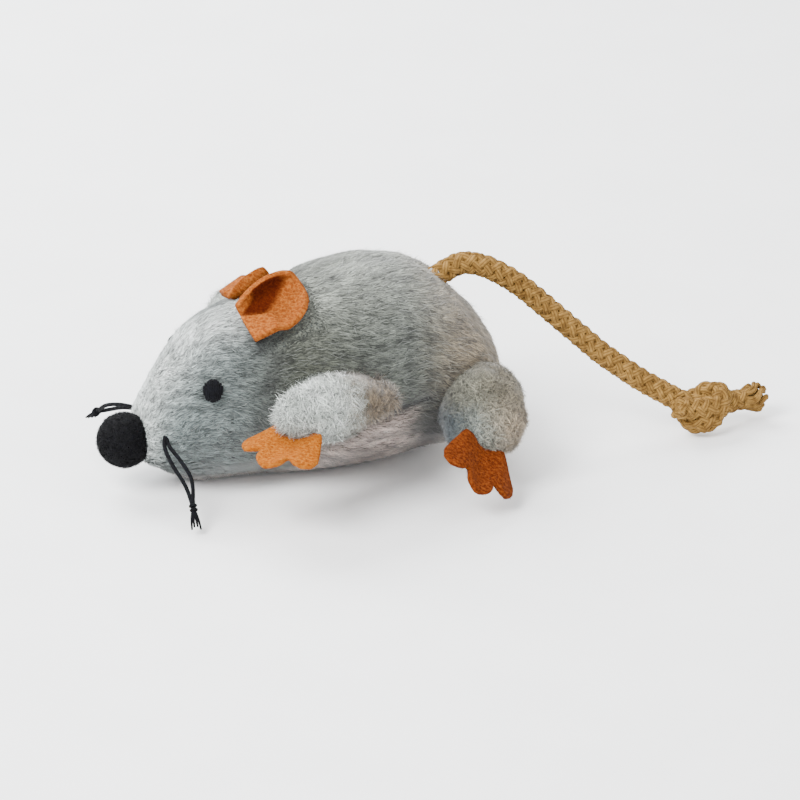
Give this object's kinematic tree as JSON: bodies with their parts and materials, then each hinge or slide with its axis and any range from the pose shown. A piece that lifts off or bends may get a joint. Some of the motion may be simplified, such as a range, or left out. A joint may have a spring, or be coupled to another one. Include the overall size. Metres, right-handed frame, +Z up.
{
  "type": "clockwork mouse",
  "caption": "Plush toy mouse with felt ears and paws, wool pompom nose, thread whiskers and a knotted rope tail that is the pull of a hidden spring motor.",
  "frame": {"origin": "on the table under the middle of the sewn mouse, tail left out", "axes": "-X towards the nose and +X towards the tail, -Y to the mouse's left side, +Z up"},
  "size_m": [0.1545, 0.0788, 0.0482],
  "materials": {
    "grey_fur": "short combed plush pile",
    "pale_fur": "longer fluffy plush pile",
    "ear_felt": "wool felt",
    "orange_felt": "wool felt",
    "rust_felt": "wool felt",
    "black_wool": "fuzzy wool yarn",
    "cotton": "braided cotton",
    "wadding": "loose polyester wadding",
    "case_plastic": "moulded",
    "gear_plastic": "moulded acetal",
    "steel": "plain"
  },
  "bodies": {
    "mouse": {"left_side_panel": "grey_fur", "right_side_panel": "grey_fur", "belly_gusset": "pale_fur", "head_stuffing": "wadding", "body_stuffing": "wadding", "tail_eyelet": "case_plastic", "nose_pompom": "black_wool", "left_whisker": "black_wool", "right_whisker": "black_wool", "left_eye": "black_wool", "right_eye": "black_wool", "mainspring": "steel", "drum_shaft": "steel", "idler_shaft": "steel", "weight_shaft": "steel", "motor_case_left": "case_plastic", "motor_case_right": "case_plastic", "case_screw_1": "steel", "case_screw_2": "steel", "case_screw_3": "steel", "case_screw_4": "steel"},
    "drum": {"pull_drum": "gear_plastic", "cord_winding": "cotton"},
    "idler": {"idler_gear": "gear_plastic"},
    "weight": {"weight_pinion": "gear_plastic", "off_centre_weight": "steel"},
    "tail_root": {"pull_cord": "cotton"},
    "tail": {"tail_rope": "cotton", "tail_knot": "cotton", "tail_end": "cotton"},
    "ear_left": {"left_ear": "ear_felt"},
    "ear_right": {"right_ear": "ear_felt"},
    "front_leg_left": {"left_front_leg": "pale_fur", "left_front_leg_stuffing": "wadding", "left_front_paw": "orange_felt"},
    "front_leg_right": {"right_front_leg": "pale_fur", "right_front_leg_stuffing": "wadding", "right_front_paw": "orange_felt"},
    "hind_leg_left": {"left_hind_leg": "grey_fur", "left_hind_leg_stuffing": "wadding", "left_hind_paw": "rust_felt"},
    "hind_leg_right": {"right_hind_leg": "grey_fur", "right_hind_leg_stuffing": "wadding", "right_hind_paw": "rust_felt"}
  },
  "joints": [
    {"name": "weight_spin", "type": "hinge", "parent": "mouse", "child": "weight", "pos_m": [-0.00064, 0, 0.02151], "axis": [0, 1, 0], "range_deg": [0, 13751]},
    {"name": "idler_spin", "type": "hinge", "parent": "mouse", "child": "idler", "pos_m": [0.00848, 0, 0.0245], "axis": [0, 1, 0], "range_deg": [-4584, 0]},
    {"name": "drum_spin", "type": "hinge", "parent": "mouse", "child": "drum", "pos_m": [0.0176, 0, 0.0275], "axis": [0, 1, 0], "range_deg": [0, 1528]},
    {"name": "tail_pull", "type": "slide", "parent": "mouse", "child": "tail_root", "axis": [0.9, 0, 0.436], "range_m": [0, 0.12], "stiffness_N_per_m": 5, "springref_m": -0.1},
    {"name": "tail_swing", "type": "hinge", "parent": "tail_root", "child": "tail", "pos_m": [0.0364, 0, 0.0416], "axis": [0, 0, 1], "range_deg": [-30, 30]},
    {"name": "left_ear_flap", "type": "hinge", "parent": "mouse", "child": "ear_left", "pos_m": [-0.0134, -0.0086, 0.0386], "axis": [0.1297, -0.9081, -0.3982], "range_deg": [0, 35]},
    {"name": "right_ear_flap", "type": "hinge", "parent": "mouse", "child": "ear_right", "pos_m": [-0.0134, 0.0086, 0.0386], "axis": [-0.1297, -0.9081, 0.3982], "range_deg": [0, 35]},
    {"name": "left_front_leg_swing", "type": "hinge", "parent": "mouse", "child": "front_leg_left", "pos_m": [0.0141, -0.0252, 0.0235], "axis": [0, 0, 1], "range_deg": [0, 35]},
    {"name": "right_front_leg_swing", "type": "hinge", "parent": "mouse", "child": "front_leg_right", "pos_m": [0.0141, 0.0252, 0.0235], "axis": [0, 0, -1], "range_deg": [0, 35]},
    {"name": "left_hind_leg_swing", "type": "hinge", "parent": "mouse", "child": "hind_leg_left", "pos_m": [0.0366, -0.0196, 0.0152], "axis": [0, 0, 1], "range_deg": [-15, 20]},
    {"name": "right_hind_leg_swing", "type": "hinge", "parent": "mouse", "child": "hind_leg_right", "pos_m": [0.0366, 0.0196, 0.0152], "axis": [0, 0, -1], "range_deg": [-15, 20]}
  ],
  "couplings": [
    {"joint": "drum_spin", "follows": "tail_pull", "rad_per_m": 222.22},
    {"joint": "idler_spin", "follows": "tail_pull", "rad_per_m": -666.67},
    {"joint": "weight_spin", "follows": "tail_pull", "rad_per_m": 2000}
  ]
}
